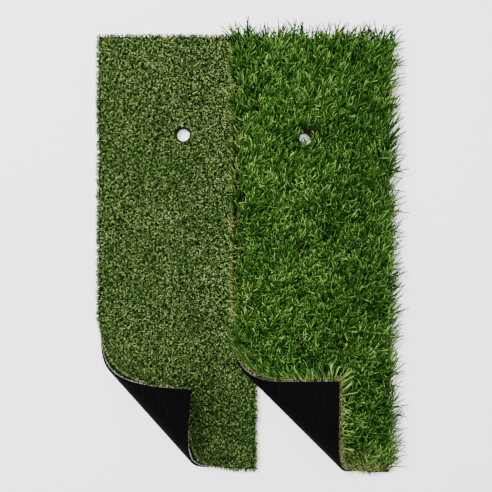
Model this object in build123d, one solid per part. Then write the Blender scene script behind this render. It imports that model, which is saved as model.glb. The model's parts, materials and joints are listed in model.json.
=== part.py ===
from build123d import *

import os
from dataclasses import dataclass
from math import asin, cos, degrees, pi, radians, sin, tan

# Golf hitting mat: a short-pile fairway strip and a long-pile rough strip of artificial turf. The
# rough strip lies loose over the right margin of the fairway strip, and the near left corner of
# each strip is folded over onto its own pile, so that the rubber underside shows.
#
# Frame: X across the mat, Y from the near end to the far end, Z up. The origin is at the bottom
# centre of the mat's box. Each strip is first made flat in its own frame, with the near left
# corner of its underside at the origin, then folded, and then laid in the mat's frame.

# ---- Driving dimensions, in millimetres and degrees ----

FAIRWAY_LENGTH = 635.0
FAIRWAY_WIDTH = 230.0
ROUGH_LENGTH = 635.0
ROUGH_WIDTH = 230.0

LAP = 33.0               # how much of the fairway strip the rough strip covers
LAP_PRESS = 0.6          # how far the edge of the rough strip sinks into the fairway pile
LAP_CLEARANCE = 0.2      # air between the rough strip and the pile pressed down under it
LAP_SIDE_ROOM = 2.0      # pile pressed down beside the edge of the rough strip
ROUGH_SETBACK = 5.0      # the rough strip lies this much nearer than the fairway strip

FAIRWAY_RUBBER = 3.0     # layer thicknesses, from the floor up
FAIRWAY_ADHESIVE = 0.8
FAIRWAY_BACKING = 0.8
FAIRWAY_PILE = 11.0

ROUGH_RUBBER = 3.5
ROUGH_ADHESIVE = 0.8
ROUGH_BACKING = 0.9
ROUGH_THATCH = 8.0
ROUGH_PILE = 22.0        # above the thatch, standing free
ROUGH_PRESSED_PILE = 10.0   # above the thatch, where the folded corner presses it

PILE_LEAN_LEFT = 6.0     # how far the tips of the rough pile stand out past each edge
PILE_LEAN_RIGHT = 8.0
PILE_LEAN_FAR = 15.0

TEE_HOLE_RADIUS = 9.5    # takes a standard rubber tee
FAIRWAY_HOLE_FROM_LEFT = 124.0
FAIRWAY_HOLE_FROM_FAR = 144.0
ROUGH_HOLE_FROM_LEFT = 105.0
ROUGH_HOLE_FROM_FAR = 147.0

FOLD_STEPS = 4           # hinge lines in each folded corner
FAIRWAY_TIP_DROP = 0.85      # share of the gap over the pile that the folded corner's tip drops
FAIRWAY_FOLD_RADIUS = 29.0   # of the rubber's outer face round the fold
FAIRWAY_FOLD_LEAD = 116.0    # from the flat corner to the outside of the fold
FAIRWAY_FOLD_BEARING = 41.8  # the way the corner is folded, from +X
ROUGH_TIP_DROP = 0.0
ROUGH_FOLD_RADIUS = 25.0
ROUGH_FOLD_LEAD = 119.0
ROUGH_FOLD_BEARING = 44.7
FLAP_ROOM = 6.0          # side room between the folded corner and the free pile round it


# ---- The strips ----

@dataclass(frozen=True)
class Layer:
    """One layer of a strip, between two heights over its underside."""

    name: str
    low: float
    high: float
    pressed: float       # height of its top where the folded corner presses it
    lean: tuple = (0.0, 0.0, 0.0)   # its top past the left, right and far edges


@dataclass(frozen=True)
class Strip:
    """A flat strip of turf with a tee hole, and the fold of its near left corner."""

    name: str
    width: float
    length: float
    layers: tuple
    hole: tuple          # centre of the tee hole, from the near left corner
    tip_drop: float
    fold_radius: float
    fold_lead: float
    fold_bearing: float

    @property
    def height(self):
        """Height of the free pile's top over the underside."""
        return self.layers[-1].high

    @property
    def reach(self):
        """A length past every edge of the strip, for the tools that cut it."""
        return self.length + self.width

    @property
    def fold_angle(self):
        """The whole turn of the corner: a half turn, and then as far as the tip drops."""
        gap = 2 * (self.fold_radius - self.height)
        straight = self.fold_start - pi * self.fold_radius
        return 180 + degrees(asin(self.tip_drop * gap / straight))

    @property
    def fold_step(self):
        """The turn at each hinge line."""
        return self.fold_angle / FOLD_STEPS

    @property
    def half_slat(self):
        """Half the width of the underside between two hinge lines."""
        return self.fold_radius * tan(radians(self.fold_step / 2))

    @property
    def fold_start(self):
        """Distance from the flat corner to where the underside leaves the floor."""
        return self.fold_lead + self.fold_radius

    @property
    def folded_tip(self):
        """Distance from the flat corner's place to the folded corner's tip."""
        return 2 * self.fold_start - 2 * FOLD_STEPS * self.half_slat

    @property
    def inward(self):
        """The level direction from the corner into the strip, across the fold."""
        bearing = radians(self.fold_bearing)
        return Vector(cos(bearing), sin(bearing), 0)

    @property
    def fold_line(self):
        """The level direction of the hinge lines, which opens the fold by the right-hand rule."""
        bearing = radians(self.fold_bearing)
        return Vector(sin(bearing), -cos(bearing), 0)


def stack(*sheets):
    """Turns (name, thickness, pressed thickness, lean) sheets into layers, from the floor up."""
    layers = []
    low = 0.0
    for name, thickness, pressed, lean in sheets:
        layers.append(Layer(name, low, low + thickness, low + pressed, lean))
        low += thickness
    return tuple(layers)


UPRIGHT = (0.0, 0.0, 0.0)

FAIRWAY = Strip(
    name="fairway",
    width=FAIRWAY_WIDTH,
    length=FAIRWAY_LENGTH,
    layers=stack(
        ("rubber_base", FAIRWAY_RUBBER, FAIRWAY_RUBBER, UPRIGHT),
        ("adhesive_coat", FAIRWAY_ADHESIVE, FAIRWAY_ADHESIVE, UPRIGHT),
        ("primary_backing", FAIRWAY_BACKING, FAIRWAY_BACKING, UPRIGHT),
        ("pile", FAIRWAY_PILE, FAIRWAY_PILE, UPRIGHT),
    ),
    hole=(FAIRWAY_HOLE_FROM_LEFT, FAIRWAY_LENGTH - FAIRWAY_HOLE_FROM_FAR),
    tip_drop=FAIRWAY_TIP_DROP,
    fold_radius=FAIRWAY_FOLD_RADIUS,
    fold_lead=FAIRWAY_FOLD_LEAD,
    fold_bearing=FAIRWAY_FOLD_BEARING,
)

ROUGH = Strip(
    name="rough",
    width=ROUGH_WIDTH,
    length=ROUGH_LENGTH,
    layers=stack(
        ("rubber_base", ROUGH_RUBBER, ROUGH_RUBBER, UPRIGHT),
        ("adhesive_coat", ROUGH_ADHESIVE, ROUGH_ADHESIVE, UPRIGHT),
        ("primary_backing", ROUGH_BACKING, ROUGH_BACKING, UPRIGHT),
        ("thatch", ROUGH_THATCH, ROUGH_THATCH, UPRIGHT),
        (
            "pile",
            ROUGH_PILE,
            ROUGH_PRESSED_PILE,
            (PILE_LEAN_LEFT, PILE_LEAN_RIGHT, PILE_LEAN_FAR),
        ),
    ),
    hole=(ROUGH_HOLE_FROM_LEFT, ROUGH_LENGTH - ROUGH_HOLE_FROM_FAR),
    tip_drop=ROUGH_TIP_DROP,
    fold_radius=ROUGH_FOLD_RADIUS,
    fold_lead=ROUGH_FOLD_LEAD,
    fold_bearing=ROUGH_FOLD_BEARING,
)

# ---- How the strips lie ----

# The left edge of the rough strip rests on the fairway pile, and its right edge on the floor.
LAP_HEIGHT = FAIRWAY.height - LAP_PRESS
ROUGH_TILT = degrees(asin(LAP_HEIGHT / ROUGH_WIDTH))
LAID = {
    FAIRWAY.name: Location((0, 0, 0)),
    ROUGH.name: Location((FAIRWAY_WIDTH - LAP, -ROUGH_SETBACK, LAP_HEIGHT), (0, ROUGH_TILT, 0)),
}


# ---- The fold ----

def hinge_distance(strip, step):
    """Distance from the flat corner to a hinge line, the first being the outermost from it."""
    return strip.fold_start - (2 * step - 1) * strip.half_slat


def folded(strip, step):
    """The move that carries the stretch past a hinge line from flat to folded."""
    move = Location((0, 0, 0))
    for passed in range(1, step + 1):
        foot = strip.inward * hinge_distance(strip, passed)
        turn = Plane(foot, x_dir=strip.inward, z_dir=strip.fold_line).location
        move = move * turn * Location((0, 0, 0), (0, 0, -strip.fold_step)) * turn.inverse()
    return move


def across_fold(strip, points):
    """A prism along the fold, from the points of its section: distance from the corner, height."""
    section = Plane((0, 0, 0), x_dir=strip.inward, z_dir=strip.fold_line)
    outline = section * make_face(Polyline(*points, close=True))
    return extrude(outline, amount=strip.reach, dir=strip.fold_line, both=True)


def stretch(strip, step):
    """The space that belongs to one stretch of the flat strip, mitred at its hinge lines."""
    lean = strip.half_slat / strip.fold_radius
    top = strip.height
    if step == 0:
        edge = hinge_distance(strip, 1)
        points = [(edge, 0), (strip.reach, 0), (strip.reach, top), (edge + lean * top, top)]
    elif step == FOLD_STEPS:
        edge = hinge_distance(strip, FOLD_STEPS)
        points = [(-strip.reach, 0), (edge, 0), (edge - lean * top, top), (-strip.reach, top)]
    else:
        near, far = hinge_distance(strip, step + 1), hinge_distance(strip, step)
        points = [(near, 0), (far, 0), ((near + far) / 2, strip.fold_radius)]
    return across_fold(strip, points)


def flap_pocket(strip, layer):
    """The space over the pressed pile that the folded corner lies in."""
    bearing = radians(strip.fold_bearing)
    along_line = strip.inward.cross(Vector(0, 0, 1)) * -1
    left_edge = along_line * cos(bearing) - strip.inward * sin(bearing)
    corner = Plane(strip.inward * strip.folded_tip, x_dir=left_edge, z_dir=(0, 0, 1))
    room = FLAP_ROOM + layer.lean[0]
    block = Box(strip.reach, strip.reach, strip.reach, align=Align.MIN)
    return corner * Pos(-room, -room, layer.pressed) * block


# ---- The layers ----

def flat_layer(strip, layer):
    """A whole layer of the flat strip, with the tee hole through it."""
    left, right, far = layer.lean
    foot = Pos(0, 0, layer.low) * Rectangle(strip.width, strip.length, align=Align.MIN)
    tip_size = (strip.width + left + right, strip.length + far)
    tip = Pos(-left, 0, layer.high) * Rectangle(*tip_size, align=Align.MIN)
    body = loft([foot, tip])
    hole = Cylinder(TEE_HOLE_RADIUS, strip.height, align=(Align.CENTER, Align.CENTER, Align.MIN))
    return body - Pos(*strip.hole, 0) * hole


def layer_stretches(strip, layer):
    """The stretches of one layer, folded as they rest: the main one, the bends and the corner."""
    whole = flat_layer(strip, layer)
    pressed = whole
    main = whole
    if layer.pressed < layer.high:
        free_top = Pos(0, 0, layer.pressed) * Box(
            4 * strip.reach, 4 * strip.reach, strip.reach,
            align=(Align.CENTER, Align.CENTER, Align.MIN),
        )
        pressed = whole - free_top
        main = whole - flap_pocket(strip, layer)
    pieces = []
    for step in range(FOLD_STEPS + 1):
        source = main if step == 0 else pressed
        pieces.append(folded(strip, step) * (source & stretch(strip, step)))
    return pieces


def stretch_name(strip, layer, step):
    """The node name of one stretch of a layer."""
    name = f"{strip.name}_{layer.name}"
    if step == 0:
        return name
    if step == FOLD_STEPS:
        return f"{name}_corner"
    return f"{name}_bend_{step}"


def lap_seat():
    """The space under and beside the rough strip where the fairway pile is pressed down."""
    block = Box(ROUGH.reach, ROUGH.length, ROUGH.height, align=Align.MIN)
    return LAID[ROUGH.name] * Pos(-LAP_SIDE_ROOM, 0, -LAP_CLEARANCE) * block


# ---- The mat ----

def build_nodes():
    """Every node of the mat, laid on the floor, before the origin is set."""
    nodes = {}
    for strip in (FAIRWAY, ROUGH):
        for layer in strip.layers:
            for step, piece in enumerate(layer_stretches(strip, layer)):
                nodes[stretch_name(strip, layer, step)] = LAID[strip.name] * piece
    nodes["fairway_pile"] = nodes["fairway_pile"] - lap_seat()
    return nodes


laid_nodes = build_nodes()
extent = Compound(list(laid_nodes.values())).bounding_box()
to_origin = Pos(-extent.center().X, -extent.center().Y, -extent.min.Z)

os.makedirs("parts", exist_ok=True)
for node_name, solid in laid_nodes.items():
    export_step(to_origin * solid, f"parts/{node_name}.step")
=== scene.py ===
"""Looks of a golf hitting mat: a short-pile and a long-pile turf strip with folded corners."""

import json
import logging
from collections.abc import Iterator
from dataclasses import dataclass, field, fields
from enum import Enum
from math import asin, atan2, cos, pi, radians, sin, tan

import bmesh
import bpy
import numpy as np
from mathutils import Matrix, Vector

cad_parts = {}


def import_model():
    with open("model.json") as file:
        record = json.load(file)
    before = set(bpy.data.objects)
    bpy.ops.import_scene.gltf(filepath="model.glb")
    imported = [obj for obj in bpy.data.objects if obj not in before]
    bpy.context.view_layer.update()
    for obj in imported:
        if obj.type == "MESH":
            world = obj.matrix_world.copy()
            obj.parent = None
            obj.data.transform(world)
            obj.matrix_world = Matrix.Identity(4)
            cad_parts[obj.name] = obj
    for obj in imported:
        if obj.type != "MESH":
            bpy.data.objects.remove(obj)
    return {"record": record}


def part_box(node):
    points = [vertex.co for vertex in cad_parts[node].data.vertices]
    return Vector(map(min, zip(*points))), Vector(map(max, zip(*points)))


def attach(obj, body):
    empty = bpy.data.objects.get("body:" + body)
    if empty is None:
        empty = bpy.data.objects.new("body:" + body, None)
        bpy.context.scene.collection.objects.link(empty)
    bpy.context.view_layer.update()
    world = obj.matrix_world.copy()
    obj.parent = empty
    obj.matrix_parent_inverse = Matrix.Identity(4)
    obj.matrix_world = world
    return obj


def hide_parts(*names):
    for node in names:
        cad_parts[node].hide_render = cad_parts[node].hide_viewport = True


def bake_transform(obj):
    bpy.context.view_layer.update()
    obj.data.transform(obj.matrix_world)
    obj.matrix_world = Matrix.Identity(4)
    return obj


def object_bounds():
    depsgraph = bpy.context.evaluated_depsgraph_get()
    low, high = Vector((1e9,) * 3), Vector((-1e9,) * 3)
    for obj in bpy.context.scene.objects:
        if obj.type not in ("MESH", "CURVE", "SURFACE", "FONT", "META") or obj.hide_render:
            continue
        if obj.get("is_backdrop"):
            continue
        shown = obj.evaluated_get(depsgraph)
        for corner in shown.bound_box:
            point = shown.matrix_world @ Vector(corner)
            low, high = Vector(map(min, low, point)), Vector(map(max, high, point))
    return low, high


logging.basicConfig(level=logging.INFO, format="%(message)s")
LOG = logging.getLogger("hitting_mat")

MM = 0.001
UP = Vector((0, 0, 1))
FIBRE_MAP = "OFBake"

ROUND = 2 * pi
HOLE_SIDES = 40
BEND_SLICES = 8
NOISE_CELLS = 96
TAPER_START = 0.35
ROOT_MARGIN = 0.7 * MM
LEAST_HEIGHT = 0.1 * MM
CREASE = radians(40)

Array = np.ndarray
Socket = bpy.types.NodeSocket
Colour = tuple[int, int, int]


class Edge(Enum):
    """An edge of a strip, and the direction out of it in the strip's own plane."""

    LEFT = (-1.0, 0.0)
    RIGHT = (1.0, 0.0)
    NEAR = (0.0, -1.0)
    FAR = (0.0, 1.0)


class Kind(Enum):
    """How one stretch of a folded strip behaves."""

    FLAT = "flat"
    BEND = "bend"
    FLAP = "flap"


def linear(red: int, green: int, blue: int) -> tuple[float, float, float, float]:
    """Turns a display colour, from 0 to 255, into the scene's linear colour with an alpha of 1."""
    channels = []
    for value in (red, green, blue):
        part = value / 255
        channels.append(part / 12.92 if part <= 0.04045 else ((part + 0.055) / 1.055) ** 2.4)
    return (*channels, 1.0)


# ---- Finishes ----


class Nodes:
    """A material's node tree, with short ways to add and join nodes."""

    def __init__(self, name: str, roughness: float, shine: float = 0.5) -> None:
        """Starts a material with one shader of this roughness and specular level."""
        self.material = bpy.data.materials.new(name)
        self.material.use_nodes = True
        self.tree = self.material.node_tree
        self.shader = self.tree.nodes["Principled BSDF"]
        self.shader.inputs["Roughness"].default_value = roughness
        self.shader.inputs["Specular IOR Level"].default_value = shine

    def add(self, kind: str, **values: object) -> bpy.types.Node:
        """Adds a node and sets its properties and unlinked inputs.

        Args:
            kind: The node's type name.
            **values: Properties by name, or inputs by name with underscores for spaces.

        Returns:
            The new node.
        """
        node = self.tree.nodes.new(kind)
        for key, value in values.items():
            if hasattr(node, key):
                setattr(node, key, value)
            else:
                node.inputs[key.replace("_", " ")].default_value = value
        return node

    def join(self, source: Socket, target: Socket) -> None:
        """Joins two sockets."""
        self.tree.links.new(source, target)

    def place(self) -> Socket:
        """Adds the object's own coordinates."""
        return self.add("ShaderNodeTexCoord").outputs["Object"]

    def over(self, place: Socket, kind: str, output: str, **values: object) -> Socket:
        """Adds a node that works on coordinates, and gives back one of its outputs."""
        node = self.add(kind, **values)
        self.join(place, node.inputs["Vector"])
        return node.outputs[output]

    def noise(self, place: Socket, **values: float) -> Socket:
        """Adds a noise over coordinates."""
        return self.over(place, "ShaderNodeTexNoise", "Fac", **values)

    def product(self, first: Socket, second: Socket) -> Socket:
        """Multiplies two values."""
        node = self.add("ShaderNodeMath", operation="MULTIPLY")
        self.join(first, node.inputs[0])
        self.join(second, node.inputs[1])
        return node.outputs["Value"]

    def tint(self, first: Socket, second: Socket) -> Socket:
        """Multiplies two colours."""
        node = self.add("ShaderNodeMix", data_type="RGBA", blend_type="MULTIPLY")
        node.inputs[0].default_value = 1.0
        self.join(first, node.inputs[6])
        self.join(second, node.inputs[7])
        return node.outputs[2]

    def ramp(self, source: Socket, stops: list[tuple[float, tuple[float, ...]]]) -> Socket:
        """Adds a colour ramp.

        Args:
            source: The value that it turns into a colour.
            stops: Position and colour of each stop, in order.

        Returns:
            The colour.
        """
        node = self.add("ShaderNodeValToRGB")
        elements = node.color_ramp.elements
        elements[0].position, elements[0].color = stops[0]
        elements[1].position, elements[1].color = stops[-1]
        for position, colour in stops[1:-1]:
            elements.new(position).color = colour
        self.join(source, node.inputs["Fac"])
        return node.outputs["Color"]

    def finish(
        self, colour: Socket, height: Socket | None = None, **bump: float
    ) -> bpy.types.Material:
        """Joins the colour, and a bump if there is a height, and gives back the material."""
        self.join(colour, self.shader.inputs["Base Color"])
        if height is not None:
            node = self.add("ShaderNodeBump", **bump)
            self.join(height, node.inputs["Height"])
            self.join(node.outputs["Normal"], self.shader.inputs["Normal"])
        return self.material


@dataclass(frozen=True)
class TwoToneFinish:
    """A finish between a dark and a light colour."""

    name: str
    dark: Colour
    light: Colour

    def tones(self, low: float, high: float) -> list[tuple[float, tuple[float, ...]]]:
        """The stops of a ramp from the dark colour to the light one."""
        return [(low, linear(*self.dark)), (high, linear(*self.light))]


class RubberFinish(TwoToneFinish):
    """Matte black crumb rubber with a fine grain and faint calender streaks."""

    def make(self) -> bpy.types.Material:
        """Builds the material."""
        nodes = Nodes(self.name, roughness=0.85, shine=0.03)
        place = nodes.place()
        drawn_out = nodes.over(place, "ShaderNodeMapping", "Vector", Scale=(420, 18, 420))
        streak = nodes.noise(drawn_out, Scale=1.0, Detail=3.0)
        grain = nodes.noise(place, Scale=1400.0, Detail=4.0, Roughness=0.65)
        colour = nodes.ramp(nodes.product(streak, grain), self.tones(0.12, 0.42))
        return nodes.finish(colour, grain, Strength=0.35, Distance=0.0003)


class AdhesiveFinish(TwoToneFinish):
    """Grey latex that locks the tufts and bonds the rubber."""

    def make(self) -> bpy.types.Material:
        """Builds the material."""
        nodes = Nodes(self.name, roughness=0.6)
        blotch = nodes.noise(nodes.place(), Scale=350.0, Detail=5.0)
        colour = nodes.ramp(blotch, self.tones(0.35, 0.68))
        return nodes.finish(colour, blotch, Strength=0.5, Distance=0.0004)


@dataclass(frozen=True)
class WovenFinish(TwoToneFinish):
    """Woven tape cloth, for the primary backing."""

    tape: float = 1.6 * MM

    def make(self) -> bpy.types.Material:
        """Builds the material."""
        nodes = Nodes(self.name, roughness=0.7)
        place = nodes.place()
        weave = nodes.add(
            "ShaderNodeTexBrick",
            Scale=1.0 / self.tape,
            Color1=linear(*self.light),
            Color2=linear(*[round(c * 0.86) for c in self.light]),
            Mortar=linear(*self.dark),
            Mortar_Size=0.05,
        )
        nodes.join(place, weave.inputs["Vector"])
        soil = nodes.noise(place, Scale=260.0, Detail=3.0)
        soiling = nodes.ramp(soil, [(0.42, (0.12, 0.13, 0.1, 1)), (0.58, (1, 1, 1, 1))])
        colour = nodes.tint(weave.outputs["Color"], soiling)
        return nodes.finish(
            colour, weave.outputs["Fac"], Strength=0.4, Distance=0.0003, invert=True
        )


class PaintedShadeBedFinish(TwoToneFinish):
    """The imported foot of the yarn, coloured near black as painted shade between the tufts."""

    def make(self) -> bpy.types.Material:
        """Builds the material."""
        nodes = Nodes(self.name, roughness=0.9, shine=0.03)
        place = nodes.place()
        tuft = nodes.over(place, "ShaderNodeTexVoronoi", "Distance", Scale=420.0, Randomness=1.0)
        packed = nodes.product(tuft, nodes.noise(place, Scale=1500.0, Detail=4.0))
        colour = nodes.ramp(packed, self.tones(0.05, 0.45))
        return nodes.finish(colour, packed, Strength=0.8, Distance=0.001)


@dataclass(frozen=True)
class YarnFinish:
    """Dyed yarn, darkened towards the root as painted shade in the pile. The fibre map's first axis
    is the fibre's shade, its second the height up it.
    """

    name: str
    shades: tuple[Colour, ...]
    heights: tuple[float, float, float]
    roughness: float
    shine: float

    def make(self) -> bpy.types.Material:
        """Builds the material."""
        nodes = Nodes(self.name, self.roughness, self.shine)
        fibre = nodes.add("ShaderNodeUVMap", uv_map=FIBRE_MAP).outputs["UV"]
        shade = nodes.over(fibre, "ShaderNodeSeparateXYZ", "X")
        height = shade.node.outputs["Y"]
        last = len(self.shades) - 1
        dye_and_painted_light = nodes.ramp(shade, [(i / last, linear(*dyed)) for i, dyed in enumerate(self.shades)])
        drawn_out = nodes.over(fibre, "ShaderNodeMapping", "Vector", Scale=(260, 5, 1))
        fleck = nodes.noise(drawn_out, Scale=1.0, Detail=2.0)
        flecks = nodes.ramp(fleck, [(0.3, (0.78, 0.80, 0.74, 1)), (0.7, (1.18, 1.14, 1.22, 1))])
        # Painted shade: the colour is scaled down towards the fibre's root, where the pile shades
        # it, and is lightest at the tip.
        painted_shade_levels = zip((0.0, 0.55, 1.0), self.heights)
        depth = nodes.ramp(height, [(share, (part, part, part, 1)) for share, part in painted_shade_levels])
        return nodes.finish(nodes.tint(nodes.tint(dye_and_painted_light, flecks), depth))


@dataclass(frozen=True)
class FloorFinish:
    """A plain pale studio floor."""

    name: str = "studio_floor"
    white: float = 0.93

    def make(self) -> bpy.types.Material:
        """Builds the material."""
        nodes = Nodes(self.name, roughness=0.9, shine=0.1)
        nodes.shader.inputs["Base Color"].default_value = (self.white, self.white, self.white, 1)
        return nodes.material


# ---- The strip's shape, flat and folded ----


@dataclass(frozen=True)
class Fold:
    """A corner rolled over on a round bend. Distances run from the flat corner across the fold."""

    bearing: float
    lead: float
    radius: float
    turn: float
    steps: int = 4

    @property
    def inward(self) -> Array:
        """The level direction from the corner across the fold."""
        return np.array((cos(self.bearing), sin(self.bearing), 0.0))

    @property
    def along(self) -> Array:
        """The level direction of the fold."""
        return np.array((-sin(self.bearing), cos(self.bearing), 0.0))

    @property
    def start(self) -> float:
        """Distance at which the underside leaves the floor."""
        return self.lead + self.radius

    @property
    def slat(self) -> float:
        """Flat width of one step of the bend."""
        return 2 * self.radius * tan(self.turn / self.steps / 2)

    @property
    def end(self) -> float:
        """Distance at which the bend ends and the flap begins."""
        return self.start - self.steps * self.slat

    def angle(self, distance: Array) -> Array:
        """The turn at each distance from the flat corner."""
        return np.clip((self.start - distance) / (self.steps * self.slat), 0, 1) * self.turn

    def bend(self, points: Array) -> Array:
        """Carries points of the flat strip to the folded strip.

        Args:
            points: Rows of x, y, z in the strip's own frame.

        Returns:
            The folded points.
        """
        distance = points @ self.inward
        side = points @ self.along
        turn = self.angle(distance)
        arm = self.radius - points[:, 2]
        flap = np.clip(self.end - distance, 0, None)
        out = np.where(
            distance >= self.start,
            distance,
            self.start - arm * np.sin(turn) - flap * cos(self.turn),
        )
        rise = self.radius - arm * np.cos(turn) + flap * sin(self.turn)
        return (
            out[:, None] * self.inward
            + side[:, None] * self.along
            + rise[:, None] * np.array((0.0, 0.0, 1.0))
        )


@dataclass(frozen=True)
class Stretch:
    """One stretch of a strip between two distances from the flat corner."""

    kind: Kind
    number: int
    near: float
    far: float


    @property
    def suffix(self) -> str:
        """The end of a piece's name, for this stretch."""
        ends = {Kind.FLAT: "", Kind.BEND: f"_bend_{self.number}", Kind.FLAP: "_corner"}
        return ends[self.kind]


@dataclass(frozen=True)
class Lay:
    """Where a strip lies: the place of its near left underside corner, and its tilt about Y."""

    origin: Array
    tilt: float = 0.0

    @property
    def turn(self) -> Array:
        """The tilt as a 3 by 3 matrix."""
        return np.array(Matrix.Rotation(self.tilt, 3, "Y"))

    def put(self, points: Array) -> Array:
        """Carries points from the strip's own frame to the mat's."""
        return points @ self.turn.T + self.origin


@dataclass(frozen=True)
class Layer:
    """One layer of a strip: its name, its finish, its record slot, and its CAD layer if any."""

    label: str
    finish: str
    slot: str
    node: str | None = None


@dataclass(frozen=True)
class FibreShape:
    """One fibre: a flat blade with three sides, on a spine that droops forwards and may curl."""

    length: float
    width: float
    thickness: float
    droop: float
    curl: float = 0.0
    spans: int = 4
    tip: float = 0.12
    crowding: float = 1.0

    def grow(self) -> tuple[Array, Array, Array, Array]:
        """Grows the fibre as rings joined by bridges.

        Returns:
            Its points, its triangles, and each point's height share and place round the ring.
        """
        blade = bmesh.new()
        shares = blade.verts.layers.float.new("share")
        rounds = blade.verts.layers.float.new("round")
        place = Vector((0, 0, 0))
        pose = Matrix.Identity(4)
        below = 0.0
        lower: list[bmesh.types.BMEdge] = []
        for ring in range(self.spans + 1):
            share = (ring / self.spans) ** self.crowding
            taper = 1 - (1 - self.tip) * max(0.0, share - TAPER_START) / (1 - TAPER_START)
            if ring:
                place = place + pose.to_3x3() @ (UP * self.length * (share - below))
                pose = (
                    pose
                    @ Matrix.Rotation(-self.droop / self.spans * (0.6 + 0.8 * share), 4, "X")
                    @ Matrix.Rotation(self.curl / self.spans, 4, "Y")
                )
            size = Matrix.Diagonal((self.width / 2 * taper, self.thickness / 2 * taper, 1, 1))
            verts = bmesh.ops.create_circle(
                blade,
                segments=3,
                radius=1.0,
                cap_ends=ring in (0, self.spans),
                matrix=Matrix.Translation(place) @ pose @ size,
            )["verts"]
            for corner, vert in enumerate(verts):
                vert[shares] = share
                vert[rounds] = corner
            upper = list({edge for vert in verts for edge in vert.link_edges})
            if lower:
                bmesh.ops.bridge_loops(blade, edges=lower + upper)
            lower, below = upper, share
        bmesh.ops.triangulate(blade, faces=blade.faces[:])
        bmesh.ops.recalc_face_normals(blade, faces=blade.faces[:])
        blade.verts.index_update()
        points = np.array([v.co for v in blade.verts])
        triangles = np.array([[v.index for v in f.verts] for f in blade.faces])
        height = np.array([v[shares] for v in blade.verts])
        corner = np.array([v[rounds] for v in blade.verts])
        blade.free()
        return points, triangles, height, corner


@dataclass
class Planting:
    """Where fibres stand on the flat strip, and how each one leans."""

    roots: Array
    heading: Array
    lean: Array
    scale: Array
    press: Array
    shade: Array

    def pick(self, chosen: Array) -> "Planting":
        """The chosen fibres alone."""
        return Planting(*(getattr(self, part.name)[chosen] for part in fields(self)))


def smooth_noise(points: Array, cell: float, rng: np.random.Generator) -> Array:
    """Slowly varying random values over the flat strip.

    Args:
        points: Rows of x, y and more, in metres.
        cell: Size of the patches, in metres.
        rng: The random source.

    Returns:
        One value from 0 to 1 for each point.
    """
    grid = rng.random((NOISE_CELLS, NOISE_CELLS))
    scaled = points[:, :2] / cell + 8
    low = np.floor(scaled).astype(int)
    part = scaled - low
    part = part * part * (3 - 2 * part)
    ix, iy = (low[:, :2] % (NOISE_CELLS - 1)).T
    bottom = grid[ix, iy] * (1 - part[:, 0]) + grid[ix + 1, iy] * part[:, 0]
    top = grid[ix, iy + 1] * (1 - part[:, 0]) + grid[ix + 1, iy + 1] * part[:, 0]
    return bottom * (1 - part[:, 1]) + top * part[:, 1]


def fade(distance: Array, reach: float) -> Array:
    """A share that falls from 1 at no distance to 0 at the reach."""
    return np.clip(1 - distance / reach, 0, 1)


def turn_towards(heading: Array, target: Array, pull: Array) -> Array:
    """Turns headings a share of the way to a target, by the shorter way round."""
    return heading + ((target - heading + pi) % ROUND - pi) * pull


def matrices(*cells: Array) -> Array:
    """Packs nine columns of values into 3 by 3 matrices, row by row."""
    return np.stack(cells, -1).reshape(-1, 3, 3)


def add_object(name: str, data: bpy.types.ID) -> bpy.types.Object:
    """Adds an object to the scene."""
    added = bpy.data.objects.new(name, data)
    bpy.context.scene.collection.objects.link(added)
    return added


# ---- The strips ----


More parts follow.
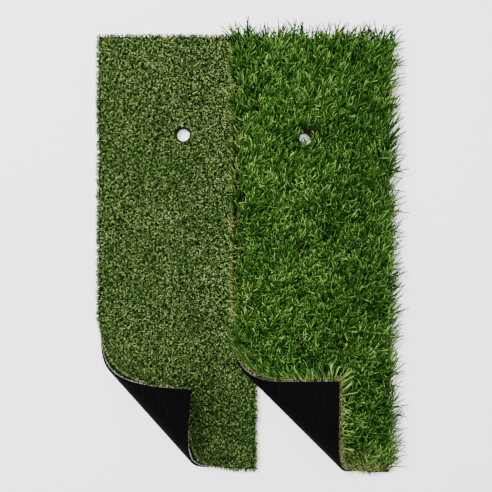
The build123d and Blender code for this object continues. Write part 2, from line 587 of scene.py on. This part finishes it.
@dataclass
class TurfStrip:
    """A strip of turf: rubber, adhesive, backing and yarn, with a tee hole and a folded corner."""

    name: str
    seed: int
    width: float
    length: float
    rubber: float
    adhesive: float
    backing: float
    bed: float
    hole: tuple[float, float]
    hole_radius: float
    fold: Fold
    lay: Lay
    bands: int
    thread_gap: float
    rng: np.random.Generator = field(init=False)
    finishes: dict[str, bpy.types.Material] = field(init=False, default_factory=dict)

    def __post_init__(self) -> None:
        """Seeds the strip's random source."""
        self.rng = np.random.default_rng(self.seed)

    # ---- layout

    @property
    def yarn_foot(self) -> float:
        """Height of the backing's top over the underside."""
        return self.rubber + self.adhesive + self.backing

    @property
    def bed_top(self) -> float:
        """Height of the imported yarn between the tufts."""
        return self.yarn_foot + self.bed

    @property
    def corner_body(self) -> str:
        """The body of the folded corner."""
        return f"{self.name}_corner"

    def body(self, number: int) -> str:
        """The name of the body that a step of the fold turns with."""
        if number == 0:
            return f"{self.name}_main"
        return self.corner_body if number == self.fold.steps else f"{self.name}_bend_{number}"

    def stretches(self) -> Iterator[Stretch]:
        """The main stretch, the steps of the bend and the flap."""
        reach = self.width + self.length
        yield Stretch(Kind.FLAT, 0, self.fold.start, reach)
        for number in range(1, self.fold.steps + 1):
            far = self.fold.start - (number - 1) * self.fold.slat
            yield Stretch(Kind.BEND, number, far - self.fold.slat, far)
        yield Stretch(Kind.FLAP, self.fold.steps, -reach, self.fold.end)

    def join_to_frame(self, piece: bpy.types.Object, stretch: Stretch) -> None:
        """Makes a piece move with the body of its stretch. A piece of the bend has its place baked
        into its mesh and moves with no body.
        """
        if stretch.kind is Kind.BEND:
            start, end = self.bend_ends(stretch)
            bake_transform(piece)
        else:
            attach(piece, self.body(stretch.number))

    def bend_ends(self, stretch: Stretch) -> tuple[tuple[float, ...], tuple[float, ...]]:
        """Where a step of the bend starts and ends on the folded underside."""
        flat = np.array([stretch.far * self.fold.inward, stretch.near * self.fold.inward])
        start, end = self.lay.put(self.fold.bend(flat))
        return tuple(start), tuple(end)

    def replaced(self, layer: Layer, stretch: Stretch) -> list[str]:
        """The CAD nodes that a layer's piece stands for. The last step of the bend has none."""
        last_step = stretch.kind is Kind.BEND and stretch.number == self.fold.steps
        if layer.node is None or last_step:
            return []
        return [f"{self.name}_{layer.node}{stretch.suffix}"]

    def beyond(self, roots: Array, step: int = 0) -> Array:
        """Whether each root is on the corner's side of where a step of the bend ends."""
        return roots @ self.fold.inward < self.fold.start - step * self.fold.slat

    def depth(self, roots: Array, edge: Edge) -> Array:
        """How far each root stands in from an edge."""
        axis = 0 if edge.value[0] else 1
        inwards = roots[:, axis]
        return (self.width, self.length)[axis] - inwards if sum(edge.value) > 0 else inwards

    def hole_gap(self, roots: Array) -> Array:
        """How far each root stands from the edge of the tee hole."""
        return np.hypot(*(roots[:, :2] - np.array(self.hole)).T) - self.hole_radius

    # ---- sheets

    def flat_sheet(self, low: float, high: float, inset: float) -> bmesh.types.BMesh:
        """Builds a flat closed sheet with the tee hole, between two heights."""
        sheet = bmesh.new()
        centre = Vector((self.width / 2, self.length / 2, low))
        span = Matrix.Diagonal((self.width / 2 - inset, self.length / 2 - inset, 1, 1))
        bmesh.ops.create_grid(
            sheet, x_segments=1, y_segments=1, size=1.0, matrix=Matrix.Translation(centre) @ span
        )
        bmesh.ops.delete(sheet, geom=sheet.faces[:], context="FACES_ONLY")
        bmesh.ops.create_circle(
            sheet,
            segments=HOLE_SIDES,
            radius=self.hole_radius,
            matrix=Matrix.Translation((*self.hole, low)),
        )
        bmesh.ops.triangle_fill(sheet, edges=sheet.edges[:], use_beauty=True, use_dissolve=False)
        top = bmesh.ops.extrude_face_region(sheet, geom=sheet.faces[:])
        bmesh.ops.translate(
            sheet,
            verts=[v for v in top["geom"] if isinstance(v, bmesh.types.BMVert)],
            vec=(0, 0, high - low),
        )
        return sheet

    def cut(self, sheet: bmesh.types.BMesh, stretch: Stretch) -> None:
        """Keeps one stretch of a flat sheet, closed at its cuts and sliced finely where it bends."""
        inward = Vector(self.fold.inward)
        for distance, outside in ((stretch.near, -inward), (stretch.far, inward)):
            found = bmesh.ops.bisect_plane(
                sheet,
                geom=sheet.verts[:] + sheet.edges[:] + sheet.faces[:],
                plane_co=inward * distance,
                plane_no=outside,
                clear_outer=True,
            )
            rim = [e for e in found["geom_cut"] if isinstance(e, bmesh.types.BMEdge)]
            if rim:
                bmesh.ops.holes_fill(sheet, edges=rim, sides=0)
        if stretch.kind is Kind.BEND:
            for number in range(1, BEND_SLICES):
                distance = stretch.near + (stretch.far - stretch.near) * number / BEND_SLICES
                bmesh.ops.bisect_plane(
                    sheet,
                    geom=sheet.verts[:] + sheet.edges[:] + sheet.faces[:],
                    plane_co=inward * distance,
                    plane_no=inward,
                )

    def lay_sheet(self, layer: Layer, low: float, high: float, inset: float) -> None:
        """Builds one sheet of the strip, stretch by stretch.

        Args:
            layer: What the sheet is.
            low: Height of its underside.
            high: Height of its top.
            inset: How far its edges stand in from the strip's edges.
        """
        for stretch in self.stretches():
            sheet = self.flat_sheet(low, high, inset)
            self.cut(sheet, stretch)
            bmesh.ops.recalc_face_normals(sheet, faces=sheet.faces[:])
            points = self.lay.put(self.fold.bend(np.array([v.co for v in sheet.verts])))
            for vert, point in zip(sheet.verts, points):
                vert.co = point
            mesh = bpy.data.meshes.new(f"mat_{self.name}_{layer.label}{stretch.suffix}")
            sheet.to_mesh(mesh)
            sheet.free()
            self.settle(mesh, layer, stretch)

    def lay_sheets(self) -> None:
        """Builds the rubber, the adhesive and the backing."""
        glued = self.rubber + self.adhesive
        rubber = Layer("rubber_base", "rubber", "black_rubber", "rubber_base")
        adhesive = Layer("adhesive_coat", "adhesive", "latex_adhesive", "adhesive_coat")
        backing = Layer("primary_backing", "backing", "woven_backing", "primary_backing")
        self.lay_sheet(rubber, 0.0, self.rubber, 0.0)
        self.lay_sheet(adhesive, self.rubber, glued, 0.2 * MM)
        self.lay_sheet(backing, glued, self.yarn_foot, -0.2 * MM)

    def lay_bed(self, slot: str) -> None:
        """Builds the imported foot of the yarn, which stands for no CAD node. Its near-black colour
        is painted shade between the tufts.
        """
        self.lay_sheet(Layer("yarn_bed", "bed", slot), self.yarn_foot, self.bed_top, 0.8 * MM)

    def settle(self, mesh: bpy.types.Mesh, layer: Layer, stretch: Stretch) -> None:
        """Makes a piece of a finished mesh, joins it to the frame and reports it.

        Args:
            mesh: The mesh, in place.
            layer: The layer it belongs to.
            stretch: The stretch it covers.
        """
        mesh.materials.append(self.finishes[layer.finish])
        piece = add_object(mesh.name, mesh)
        if stretch.kind is Kind.BEND:
            mesh.polygons.foreach_set("use_smooth", [True] * len(mesh.polygons))
            if "yarn" not in layer.slot:
                mesh.set_sharp_from_angle(angle=CREASE)
        self.join_to_frame(piece, stretch)
        nodes = self.replaced(layer, stretch)
        if nodes:
            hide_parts(*nodes)
        count = sum(len(face.vertices) - 2 for face in mesh.polygons)
        LOG.info("%s: %d triangles", piece.name, count)

    # ---- fibres

    def tufts(self, gauge: float, stitch: float, fibres: int, jitter: float) -> Array:
        """Roots of fibres in tufted rows, clear of the tee hole.

        Args:
            gauge: Distance between rows across the strip.
            stitch: Distance between tufts along a row.
            fibres: Fibres in a tuft.
            jitter: Spread of a tuft's fibres.

        Returns:
            Rows of x, y and 0 in the strip's own frame.
        """
        across = np.arange(gauge / 2, self.width, gauge)
        along = np.arange(stitch / 2, self.length, stitch)
        grid = np.stack(np.meshgrid(across, along, indexing="ij"), axis=-1).reshape(-1, 2)
        grid[:, 1] += stitch / 2 * (np.round(grid[:, 0] / gauge).astype(int) % 2)
        roots = np.repeat(grid + self.rng.normal(0, gauge * 0.18, grid.shape), fibres, axis=0)
        roots = roots + self.rng.normal(0, jitter, roots.shape)
        inside = self.hole_gap(roots) > ROOT_MARGIN
        for edge in Edge:
            inside &= self.depth(roots, edge) > ROOT_MARGIN
        roots = roots[inside]
        return np.hstack([roots, np.zeros((len(roots), 1))])

    def along_edge(self, edge: Edge, start: float, count: int, deepest: float) -> Array:
        """Roots scattered along an edge.

        Args:
            edge: The edge.
            start: Where along the edge they begin.
            count: How many roots.
            deepest: How far in from the edge they reach.

        Returns:
            Rows of x, y and 0 in the strip's own frame.
        """
        out = np.array(edge.value)
        size = np.array((self.width, self.length))
        run = np.abs(out[::-1])
        along = self.rng.uniform(start, size @ run, count)[:, None] * run
        depth = self.rng.uniform(0.4 * MM, deepest, count)[:, None] * out
        flat = along + np.where(out > 0, size, 0) - depth
        return np.hstack([flat, np.zeros((count, 1))])

    def turn_outwards(
        self, heading: Array, roots: Array, edge: Edge, reach: float, sweep: float = 0.0
    ) -> Array:
        """Turns the headings of fibres near an edge outwards.

        Args:
            heading: The heading of each fibre, from +Y towards -X.
            roots: The fibres' roots.
            edge: The edge.
            reach: How far in from the edge the turn reaches.
            sweep: How far the turned fibres still follow the strip towards its far end.

        Returns:
            The new headings.
        """
        out = edge.value
        outwards = atan2(-out[0], out[1] + sweep)
        spread = self.rng.normal(0, radians(28), len(heading))
        return turn_towards(heading, outwards + spread, fade(self.depth(roots, edge), reach))

    def turn_from_hole(self, planting: Planting, reach: float, lean: float) -> None:
        """Turns and leans fibres away from the tee hole.

        Args:
            planting: The fibres, changed in place.
            reach: How far from the hole's edge the turn reaches.
            lean: The lean of the fibres on the hole's edge.
        """
        away = planting.roots[:, :2] - np.array(self.hole)
        gap = self.hole_gap(planting.roots)
        pull = np.clip(1.25 * (1 - gap / reach), 0, 1)
        outwards = np.arctan2(-away[:, 0], away[:, 1])
        planting.heading = turn_towards(planting.heading, outwards, pull)
        planting.lean = np.maximum(planting.lean, lean * fade(gap, 0.5 * reach))

    def sow(
        self,
        layer: Layer,
        foot: float,
        planting: Planting,
        shapes: list[FibreShape],
        bands: int,
    ) -> None:
        """Plants fibres over the strip, stretch by stretch.

        Args:
            layer: What the fibres are.
            foot: Height of the roots over the underside.
            planting: Where the fibres stand and how they lean.
            shapes: The fibres' shapes.
            bands: How many pieces share the flat stretch.
        """
        grown = [shape.grow() for shape in shapes]
        distance = planting.roots @ self.fold.inward
        along = planting.roots[:, 1]
        planting.roots = planting.roots + np.array((0, 0, foot))
        limits = np.linspace(0, self.length, bands + 1)
        for stretch in self.stretches():
            inside = (distance >= stretch.near) & (distance < stretch.far)
            parts = {stretch.suffix: inside}
            if stretch.kind is Kind.FLAT:
                parts = {
                    f"_{band + 1}": inside & (along >= limits[band]) & (along < limits[band + 1])
                    for band in range(bands)
                }
            for suffix, chosen in parts.items():
                mesh = bpy.data.meshes.new(f"mat_{self.name}_{layer.label}{suffix}")
                self.weave(mesh, *self.spread(planting.pick(chosen), grown))
                self.settle(mesh, layer, stretch)

    def spread(self, planting: Planting, grown: list[tuple[Array, ...]]) -> tuple[Array, ...]:
        """Puts a grown shape on each root, and folds them with the strip.

        Args:
            planting: The fibres of one piece.
            grown: The grown shapes.

        Returns:
            Points in the mat's frame, triangles, and the fibre map at each point.
        """
        which = self.rng.integers(0, len(grown), len(planting.roots))
        turns = self.fibre_turns(planting)
        points, faces, maps = [], [], []
        offset = 0
        for number, (shape, triangles, height, corner) in enumerate(grown):
            mine = np.nonzero(which == number)[0]
            if not len(mine):
                continue
            moved = np.einsum("nij,vj->nvi", turns[mine], shape) + planting.roots[mine][:, None]
            points.append(moved.reshape(-1, 3))
            steps = offset + np.arange(len(mine)) * len(shape)
            faces.append((triangles[None] + steps[:, None, None]).reshape(-1, 3))
            # The map keeps off its own borders, and no triangle of a fibre is empty on it.
            shade = planting.shade[mine][:, None] * 0.97 + 0.004 + corner[None] * 0.003
            height = np.broadcast_to(0.02 + 0.96 * height, shade.shape)
            maps.append(np.stack([shade, height], -1).reshape(-1, 2))
            offset += len(mine) * len(shape)
        world = self.clear_neighbours(self.lay.put(self.fold.bend(np.concatenate(points))))
        world[:, 2] = np.maximum(world[:, 2], LEAST_HEIGHT)
        return world, np.concatenate(faces), np.concatenate(maps)

    def fibre_turns(self, planting: Planting) -> Array:
        """The turn, lean, press and scale of each fibre, as 3 by 3 matrices."""
        zero, one = np.zeros_like(planting.heading), np.ones_like(planting.heading)
        c, s = np.cos(planting.heading), np.sin(planting.heading)
        head = matrices(c, -s, zero, s, c, zero, zero, zero, one)
        c, s = np.cos(planting.lean), np.sin(planting.lean)
        tip = matrices(one, zero, zero, zero, c, s, zero, -s, c)
        press = matrices(one, zero, zero, zero, one, zero, zero, zero, planting.press)
        return press @ head @ tip * planting.scale[:, None, None]

    def weave(self, mesh: bpy.types.Mesh, points: Array, faces: Array, maps: Array) -> None:
        """Fills a mesh with planted fibres.

        Args:
            mesh: The empty mesh.
            points: Its points in the mat's frame.
            faces: Its triangles.
            maps: The fibre map at each point.
        """
        mesh.vertices.add(len(points))
        mesh.vertices.foreach_set("co", points.ravel())
        mesh.loops.add(faces.size)
        mesh.loops.foreach_set("vertex_index", faces.ravel())
        mesh.polygons.add(len(faces))
        mesh.polygons.foreach_set("loop_start", np.arange(0, faces.size, 3))
        mesh.polygons.foreach_set("loop_total", np.full(len(faces), 3))
        mesh.polygons.foreach_set("use_smooth", np.full(len(faces), True))
        fibre_map = mesh.uv_layers.new(name=FIBRE_MAP)
        fibre_map.data.foreach_set("uv", maps[faces.ravel()].astype(np.float32).ravel())
        mesh.update(calc_edges=True)
        mesh.validate()

    def clear_neighbours(self, points: Array) -> Array:
        """Keeps fibres out of what lies on them. A strip with nothing on it changes nothing."""
        return points

    def fray(self) -> None:
        """Adds the frayed threads of the backing's cut edges."""
        roots, heading = [], []
        for edge in Edge:
            out = edge.value
            count = int((self.width if out[1] else self.length) / self.thread_gap)
            roots.append(self.along_edge(edge, 0.0, count, 0.5 * MM))
            heading.append(atan2(-out[0], out[1]) + self.rng.normal(0, radians(42), count))
        count = sum(map(len, roots))
        lean = self.rng.normal(radians(84), radians(22), count)
        planting = Planting(
            roots=np.concatenate(roots),
            heading=np.concatenate(heading),
            lean=np.clip(lean, radians(40), radians(125)),
            scale=self.rng.uniform(0.5, 1.25, count),
            press=np.ones(count),
            shade=self.rng.random(count),
        )
        shapes = [
            FibreShape(2.4 * MM, 0.75 * MM, 0.4 * MM, droop, curl, spans=3)
            for droop, curl in ((0.5, 0.3), (-0.6, -0.4), (0.2, 0.8))
        ]
        threads = Layer("frayed_threads", "thread", "woven_backing")
        self.sow(threads, self.yarn_foot - self.backing / 2, planting, shapes, bands=1)


@dataclass
class FairwayStrip(TurfStrip):
    """The short-pile strip, of crimped yarn that curls over."""

    pile: float = 11 * MM
    roof: Lay | None = None
    roof_size: tuple[float, float] = (0.0, 0.0)

    def plant(self) -> None:
        """Plants the crimped yarn."""
        roots = self.tufts(gauge=3.6 * MM, stitch=3.6 * MM, fibres=4, jitter=1.1 * MM)
        counts = {Edge.LEFT: 900, Edge.RIGHT: 900, Edge.NEAR: 330, Edge.FAR: 330}
        rims = [self.along_edge(edge, 0.0, count, 2.4 * MM) for edge, count in counts.items()]
        roots = np.concatenate([roots, *rims])
        count = len(roots)
        heading = self.rng.uniform(-pi, pi, count)
        for edge in Edge:
            heading = self.turn_outwards(heading, roots, edge, 5 * MM)
        rim = fade(np.minimum.reduce([self.depth(roots, edge) for edge in Edge]), 4.5 * MM)
        shade = 0.8 * self.rng.random(count) ** 1.35 + 0.16 * smooth_noise(roots, 4 * MM, self.rng)
        shade += 0.1 * smooth_noise(roots, 45 * MM, self.rng)
        # Painted shade: the yarn is darkened towards the near right corner. It is also made lighter
        # towards the right edge.
        near = np.clip((190 * MM - roots[:, 1]) / (110 * MM), 0, 1)
        near = near * np.clip(roots[:, 0] / self.width, 0, 1)
        shade += 0.07 * np.clip((roots[:, 0] - 165 * MM) / (25 * MM), 0, 1)
        lean = np.abs(self.rng.normal(radians(6), radians(10), count))
        planting = Planting(
            roots=roots,
            heading=heading,
            lean=lean + radians(70) * rim * self.rng.random(count),
            scale=self.rng.uniform(0.8, 1.12, count),
            press=np.ones(count),
            shade=np.clip(shade - 0.2 * near, 0, 1),
        )
        self.turn_from_hole(planting, 5 * MM, radians(20))
        bends = ((200, 50), (240, -70), (220, 30), (180, 90), (260, -40), (210, -100))
        shapes = [
            FibreShape(
                9.0 * MM, 1.3 * MM, 0.7 * MM, radians(droop), radians(curl), 3, 0.55, crowding=0.6
            )
            for droop, curl in bends
        ]
        curls = Layer("curls", "yarn", "fairway_green_yarn", "pile")
        self.sow(curls, self.bed_top - 1.0 * MM, planting, shapes, self.bands)

    def clear_neighbours(self, points: Array) -> Array:
        """Presses fibres down under the strip that lies on them."""
        if self.roof is None:
            return points
        local = (points - self.roof.origin) @ self.roof.turn
        across, along = local[:, 0], local[:, 1]
        under = (across > -2 * MM) & (across < self.roof_size[0])
        under &= (along > 0) & (along < self.roof_size[1]) & (points[:, 2] < 20 * MM)
        drop = np.clip(across, 0, None) * sin(self.roof.tilt)
        ceiling = self.roof.origin[2] - drop - 0.4 * MM
        share = np.clip((ceiling - self.yarn_foot) / self.pile, 0.2, 1)
        share *= np.where(across > 0, 0.93, 1.0)
        pressed = points.copy()
        height = points[:, 2] - self.yarn_foot
        pressed[:, 2] = np.where(under, self.yarn_foot + height * share, points[:, 2])
        return pressed


@dataclass
class RoughStrip(TurfStrip):
    """The long-pile strip, of tall blades over curled thatch."""

    pressed_share: float = 0.6
    flap_room: float = 6 * MM

    def pressed(self, roots: Array) -> Array:
        """Whether each root is in the folded corner, or under it."""
        tip = (self.fold.start + self.fold.end) * self.fold.inward
        left = tip[0] + self.flap_room - roots[:, 0]
        flap = np.minimum(left, tip[1] + self.flap_room - roots[:, 1])
        return (flap > 0) | self.beyond(roots)

    def trimmed(self, roots: Array) -> Array:
        """The scale of each fibre, cut shorter beside the tee hole."""
        return 0.6 + 0.4 * np.clip(self.hole_gap(roots) / (7 * MM), 0, 1)

    def plant(self) -> None:
        """Plants the thatch and the blades."""
        self.plant_thatch()
        self.plant_blades()

    def plant_thatch(self) -> None:
        """Plants the curled yarn at the foot of the blades."""
        roots = self.tufts(gauge=5.0 * MM, stitch=5.0 * MM, fibres=2, jitter=1.5 * MM)
        reach = self.fold.start / self.fold.inward[1]
        lap = self.along_edge(Edge.LEFT, reach, 1100, 13 * MM)
        lap = lap[self.rng.random(len(lap)) < 1.6 * smooth_noise(lap, 24 * MM, self.rng)]
        lifted = [self.along_edge(edge, 0.0, 700, 4 * MM) for edge in (Edge.LEFT, Edge.NEAR)]
        lifted = [rim[self.beyond(rim)] for rim in lifted]
        roots = np.concatenate([roots, lap, *lifted])
        count = len(roots)
        folded = self.beyond(roots)
        heading = self.rng.uniform(-pi, pi, count)
        for edge, reach in ((Edge.LEFT, 16 * MM), (Edge.RIGHT, 7 * MM), (Edge.FAR, 7 * MM)):
            heading = self.turn_outwards(heading, roots, edge, reach)
        lifted = self.beyond(roots, 2)
        outwards = self.turn_outwards(heading, roots, Edge.NEAR, 7 * MM)
        heading = np.where(lifted, outwards, heading)
        pressed = self.pressed(roots)
        rim = np.where(lifted, np.minimum(roots[:, 0], roots[:, 1]), roots[:, 0] + (~folded))
        rim = rim < 5 * MM
        lap = ~folded & (roots[:, 0] < 10 * MM)
        lean = np.where(rim, radians(62), np.where(lap, radians(66), radians(25)))
        planting = Planting(
            roots=roots,
            heading=heading,
            lean=lean + self.rng.normal(0, radians(17), count),
            scale=self.rng.uniform(0.7, 1.3, count) * np.where(rim | lap, 1.12, 1.0),
            press=np.where(pressed, 0.8, 1.0),
            shade=self.rng.random(count),
        )
        shapes = [
            FibreShape(11.0 * MM, 1.3 * MM, 0.5 * MM, radians(droop), radians(curl), 4, 0.35)
            for droop, curl in ((110, 60), (170, -50), (200, 40), (90, 120))
        ]
        self.turn_from_hole(planting, 5 * MM, radians(15))
        thatch = Layer("thatch", "thatch", "straw_green_yarn", "thatch")
        self.sow(thatch, self.bed_top - 1.5 * MM, planting, shapes, self.bands)

    def plant_blades(self) -> None:
        """Plants the tall blades."""
        roots = self.tufts(gauge=8.0 * MM, stitch=6.4 * MM, fibres=8, jitter=1.2 * MM)
        folded = self.beyond(roots)
        edge_wear = np.where(folded, 0, fade(roots[:, 0], 16 * MM))
        edge_wear *= 1.5 * smooth_noise(roots, 24 * MM, self.rng)
        roots = roots[self.rng.random(len(roots)) > edge_wear]
        count = len(roots)
        heading = self.rng.normal(radians(-6), radians(32), count)
        heading += radians(95) * (smooth_noise(roots, 15 * MM, self.rng) - 0.5)
        loose = self.rng.random(count) < 0.2
        heading = np.where(loose, self.rng.uniform(-pi, pi, count), heading)
        near = roots[:, 1] < 24 * MM
        heading = np.where(near, self.rng.normal(radians(-32), radians(28), count), heading)
        for edge in (Edge.LEFT, Edge.RIGHT):
            heading = self.turn_outwards(heading, roots, edge, 12 * MM, sweep=1.5)
        lean = np.abs(self.rng.normal(radians(29), radians(13), count))
        from_right, from_far = self.depth(roots, Edge.RIGHT), self.depth(roots, Edge.FAR)
        right = fade(from_right, 10 * MM)
        lean = lean + radians(18) * right
        outer = np.minimum(from_right, from_far) < 8 * MM
        stray = outer & (self.rng.random(count) < 0.42)
        lean = np.where(stray | near, self.rng.normal(radians(60), radians(10), count), lean)
        pressed = self.pressed(roots)
        lean = np.where(pressed, np.clip(lean + radians(28), radians(35), radians(70)), lean)
        flap = self.beyond(roots, 1)
        rim = flap & (roots[:, 0] < 26 * MM)
        outwards = self.turn_outwards(heading, roots, Edge.LEFT, 40 * MM, sweep=0.7)
        heading = np.where(flap, outwards, heading)
        side = (roots @ self.fold.inward < self.fold.end + 10 * MM) & (roots[:, 1] < 12 * MM)
        heading = np.where(side, self.turn_outwards(heading, roots, Edge.NEAR, 14 * MM), heading)
        lean = np.where(rim, self.rng.normal(radians(68), radians(9), count), lean)
        # Blades by the right edge and on the flap's rim are painted lighter, as painted light on
        # them. Blades by the near edge are lighter and those by the far edge darker.
        shade = 0.62 * self.rng.random(count) ** 1.4 + 0.38 * smooth_noise(roots, 9 * MM, self.rng)
        shade += (
            0.1 * smooth_noise(roots, 60 * MM, self.rng) + 0.02 * rim + 0.12 * right + 0.28 * near
        )
        shade -= 0.1 * (from_far < 8 * MM)
        scale = self.rng.uniform(0.72, 1.1, count)
        planting = Planting(
            roots=roots,
            heading=heading,
            lean=lean,
            scale=scale * np.where(rim | stray, 1.1, 1.0) * self.trimmed(roots),
            press=np.where(pressed, self.pressed_share, 1.0),
            shade=np.clip(shade, 0, 1),
        )
        self.turn_from_hole(planting, 8 * MM, radians(10))
        shapes = [
            FibreShape(27.0 * MM, 2.0 * MM, 0.7 * MM, radians(droop), radians(curl), 4, 0.55)
            for droop, curl in ((12, 6), (22, -10), (34, 12), (48, -6), (64, 15), (30, -22))
        ]
        blades = Layer("blades", "yarn", "rough_green_yarn", "pile")
        self.sow(blades, self.bed_top - 1.5 * MM, planting, shapes, self.bands)


# ---- The studio ----


@dataclass(frozen=True)
class Studio:
    """A pale floor, soft light, and a camera straight over the mat."""

    camera_height: float = 0.8
    lens: float = 39.4
    sensor: float = 36.0
    centre: tuple[float, float] = (0.0, 0.0)

    def floor(self) -> None:
        """Lays the floor."""
        mesh = bpy.data.meshes.new("studio_floor")
        ground = bmesh.new()
        bmesh.ops.create_grid(
            ground, x_segments=1, y_segments=1, size=4.0, matrix=Matrix.Translation((0, 0, -0.0004))
        )
        ground.to_mesh(mesh)
        ground.free()
        floor = add_object("studio_floor", mesh)
        mesh.materials.append(FloorFinish().make())
        floor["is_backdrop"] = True

    def light(self) -> None:
        """Hangs the lights."""
        world = bpy.data.worlds.new("studio_world")
        world.use_nodes = True
        background = world.node_tree.nodes["Background"]
        background.inputs["Color"].default_value = (1, 1, 1, 1)
        background.inputs["Strength"].default_value = 1.15
        bpy.context.scene.world = world
        self.lamp("key_light", (-0.9, 0.9, 1.9), 0.7, 105.0)
        self.lamp("fill_light", (0.12, -0.1, 2.1), 0.9, 42.0)

    def lamp(self, name: str, place: tuple[float, float, float], size: float, power: float) -> None:
        """Hangs one square soft light that faces the mat.

        Args:
            name: Its name.
            place: Where it hangs.
            size: Length of its side.
            power: Its power in watts.
        """
        data = bpy.data.lights.new(name, "AREA")
        data.size = size
        data.energy = power
        lamp = add_object(name, data)
        lamp.location = place
        lamp.rotation_euler = (-Vector(place)).to_track_quat("-Z", "Y").to_euler()

    def camera(self) -> None:
        """Hangs the camera."""
        data = bpy.data.cameras.new("camera")
        data.type = "PERSP"
        data.lens = self.lens
        data.sensor_width = self.sensor
        camera = add_object("camera", data)
        camera.location = (*self.centre, self.camera_height)
        bpy.context.scene.camera = camera


# ---- The mat ----


@dataclass
class HittingMat:
    """The whole mat, built on the CAD frame."""

    record: dict
    strip_width: float = 230 * MM
    strip_length: float = 635 * MM
    hole_radius: float = 9.5 * MM
    fold_steps: int = 4

    def rough_tilt(self) -> float:
        """The tilt of the strip that laps over the other."""
        mount = next(m for m in self.record["mounts"] if m["name"] == "rough_tee_hole")
        return asin(mount["axis"][0])

    def fold(self, name: str, bearing: float, lead: float, radius: float) -> Fold:
        """The fold of a strip's corner, with the turn that the record gives for each step."""
        joints = self.record["behaviour"]["joints"]
        joint = next(j for j in joints if j["name"] == f"{name}_corner_fold")
        turn = radians(joint["range_deg"][1]) * self.fold_steps
        return Fold(bearing, lead, radius, turn, self.fold_steps)

    def strips(self) -> tuple[FairwayStrip, RoughStrip]:
        """Sizes both strips and finds where they lie."""
        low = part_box("fairway_rubber_base")[0]
        fairway_lay = Lay(np.array((low[0], low[1], 0.0)))
        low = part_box("rough_rubber_base")[0]
        tilt = self.rough_tilt()
        rough_lay = Lay(np.array((low[0], low[1], self.strip_width * sin(tilt))), tilt)
        shared = {
            "width": self.strip_width,
            "length": self.strip_length,
            "adhesive": 0.8 * MM,
            "hole_radius": self.hole_radius,
        }
        fairway = FairwayStrip(
            name="fairway",
            seed=11,
            rubber=3.0 * MM,
            backing=0.8 * MM,
            bed=4.8 * MM,
            hole=(124 * MM, self.strip_length - 144 * MM),
            fold=self.fold("fairway", radians(41.8), 116 * MM, 29 * MM),
            lay=fairway_lay,
            bands=6,
            thread_gap=1.4 * MM,
            roof=rough_lay,
            roof_size=(self.strip_width, self.strip_length),
            **shared,
        )
        rough = RoughStrip(
            name="rough",
            seed=23,
            rubber=3.5 * MM,
            backing=0.9 * MM,
            bed=4.5 * MM,
            hole=(105 * MM, self.strip_length - 147 * MM),
            fold=self.fold("rough", radians(44.7), 119 * MM, 25 * MM),
            lay=rough_lay,
            bands=5,
            thread_gap=3.2 * MM,
            **shared,
        )
        return fairway, rough

    def dress(self, fairway: FairwayStrip, rough: RoughStrip) -> None:
        """Makes the finishes and hands them to the strips."""
        # The three heights of each yarn finish scale its colour from root to tip: painted shade
        # towards the root.
        thread_shades = ((120, 120, 108), (200, 200, 190), (245, 245, 238))
        curl_shades = ((11, 34, 3), (50, 87, 18), (90, 126, 44), (140, 174, 86), (218, 240, 166))
        thatch_shades = ((46, 62, 16), (104, 118, 50), (158, 166, 92), (206, 206, 138))
        blade_shades = ((6, 28, 3), (24, 61, 9), (53, 98, 28), (99, 147, 58), (168, 205, 106))
        shared = {
            "rubber": RubberFinish("black_rubber", (1, 1, 1), (6, 5, 6)),
            "adhesive": AdhesiveFinish("latex_adhesive", (14, 14, 13), (58, 58, 54)),
            "thread": YarnFinish("frayed_thread", thread_shades, (0.5, 0.75, 0.9), 0.6, 0.2),
        }
        fairway_own = {
            "backing": WovenFinish("woven_backing", (52, 52, 46), (128, 128, 120)),
            # Painted shade: the bed's near-black greens stand for the shade between the tufts.
            "bed": PaintedShadeBedFinish("fairway_yarn_bed", (2, 11, 0), (14, 30, 2)),
            "yarn": YarnFinish("fairway_yarn", curl_shades, (0.015, 0.3, 0.94), 0.45, 0.2),
        }
        rough_own = {
            "backing": WovenFinish("dark_woven_backing", (22, 22, 19), (84, 84, 76)),
            # Painted shade: the bed's near-black greens stand for the shade between the tufts.
            "bed": PaintedShadeBedFinish("rough_yarn_bed", (1, 4, 0), (14, 24, 4)),
            "thatch": YarnFinish(
                "rough_thatch_yarn", thatch_shades, (0.16, 0.46, 0.66), 0.55, 0.1
            ),
            "yarn": YarnFinish("rough_blade_yarn", blade_shades, (0.02, 0.36, 0.8), 0.42, 0.07),
        }
        made, fairway_made, rough_made = (
            {part: finish.make() for part, finish in finishes.items()}
            for finishes in (shared, fairway_own, rough_own)
        )
        fairway.finishes = made | fairway_made
        rough.finishes = made | rough_made

    def build(self) -> None:
        """Builds both strips."""
        fairway, rough = self.strips()
        self.dress(fairway, rough)
        for strip in (fairway, rough):
            strip.lay_sheets()
        fairway.lay_bed("fairway_green_yarn")
        rough.lay_bed("straw_green_yarn")
        for strip in (fairway, rough):
            strip.plant()
            strip.fray()


def main() -> None:
    """Builds the mat and its studio."""
    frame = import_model()
    cad_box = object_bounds()
    HittingMat(frame["record"]).build()
    low, high = cad_box
    studio = Studio(centre=((low[0] + high[0]) / 2 - 0.002, (low[1] + high[1]) / 2 + 0.0076))
    studio.floor()
    studio.light()
    studio.camera()


if __name__ == "__main__":
    main()
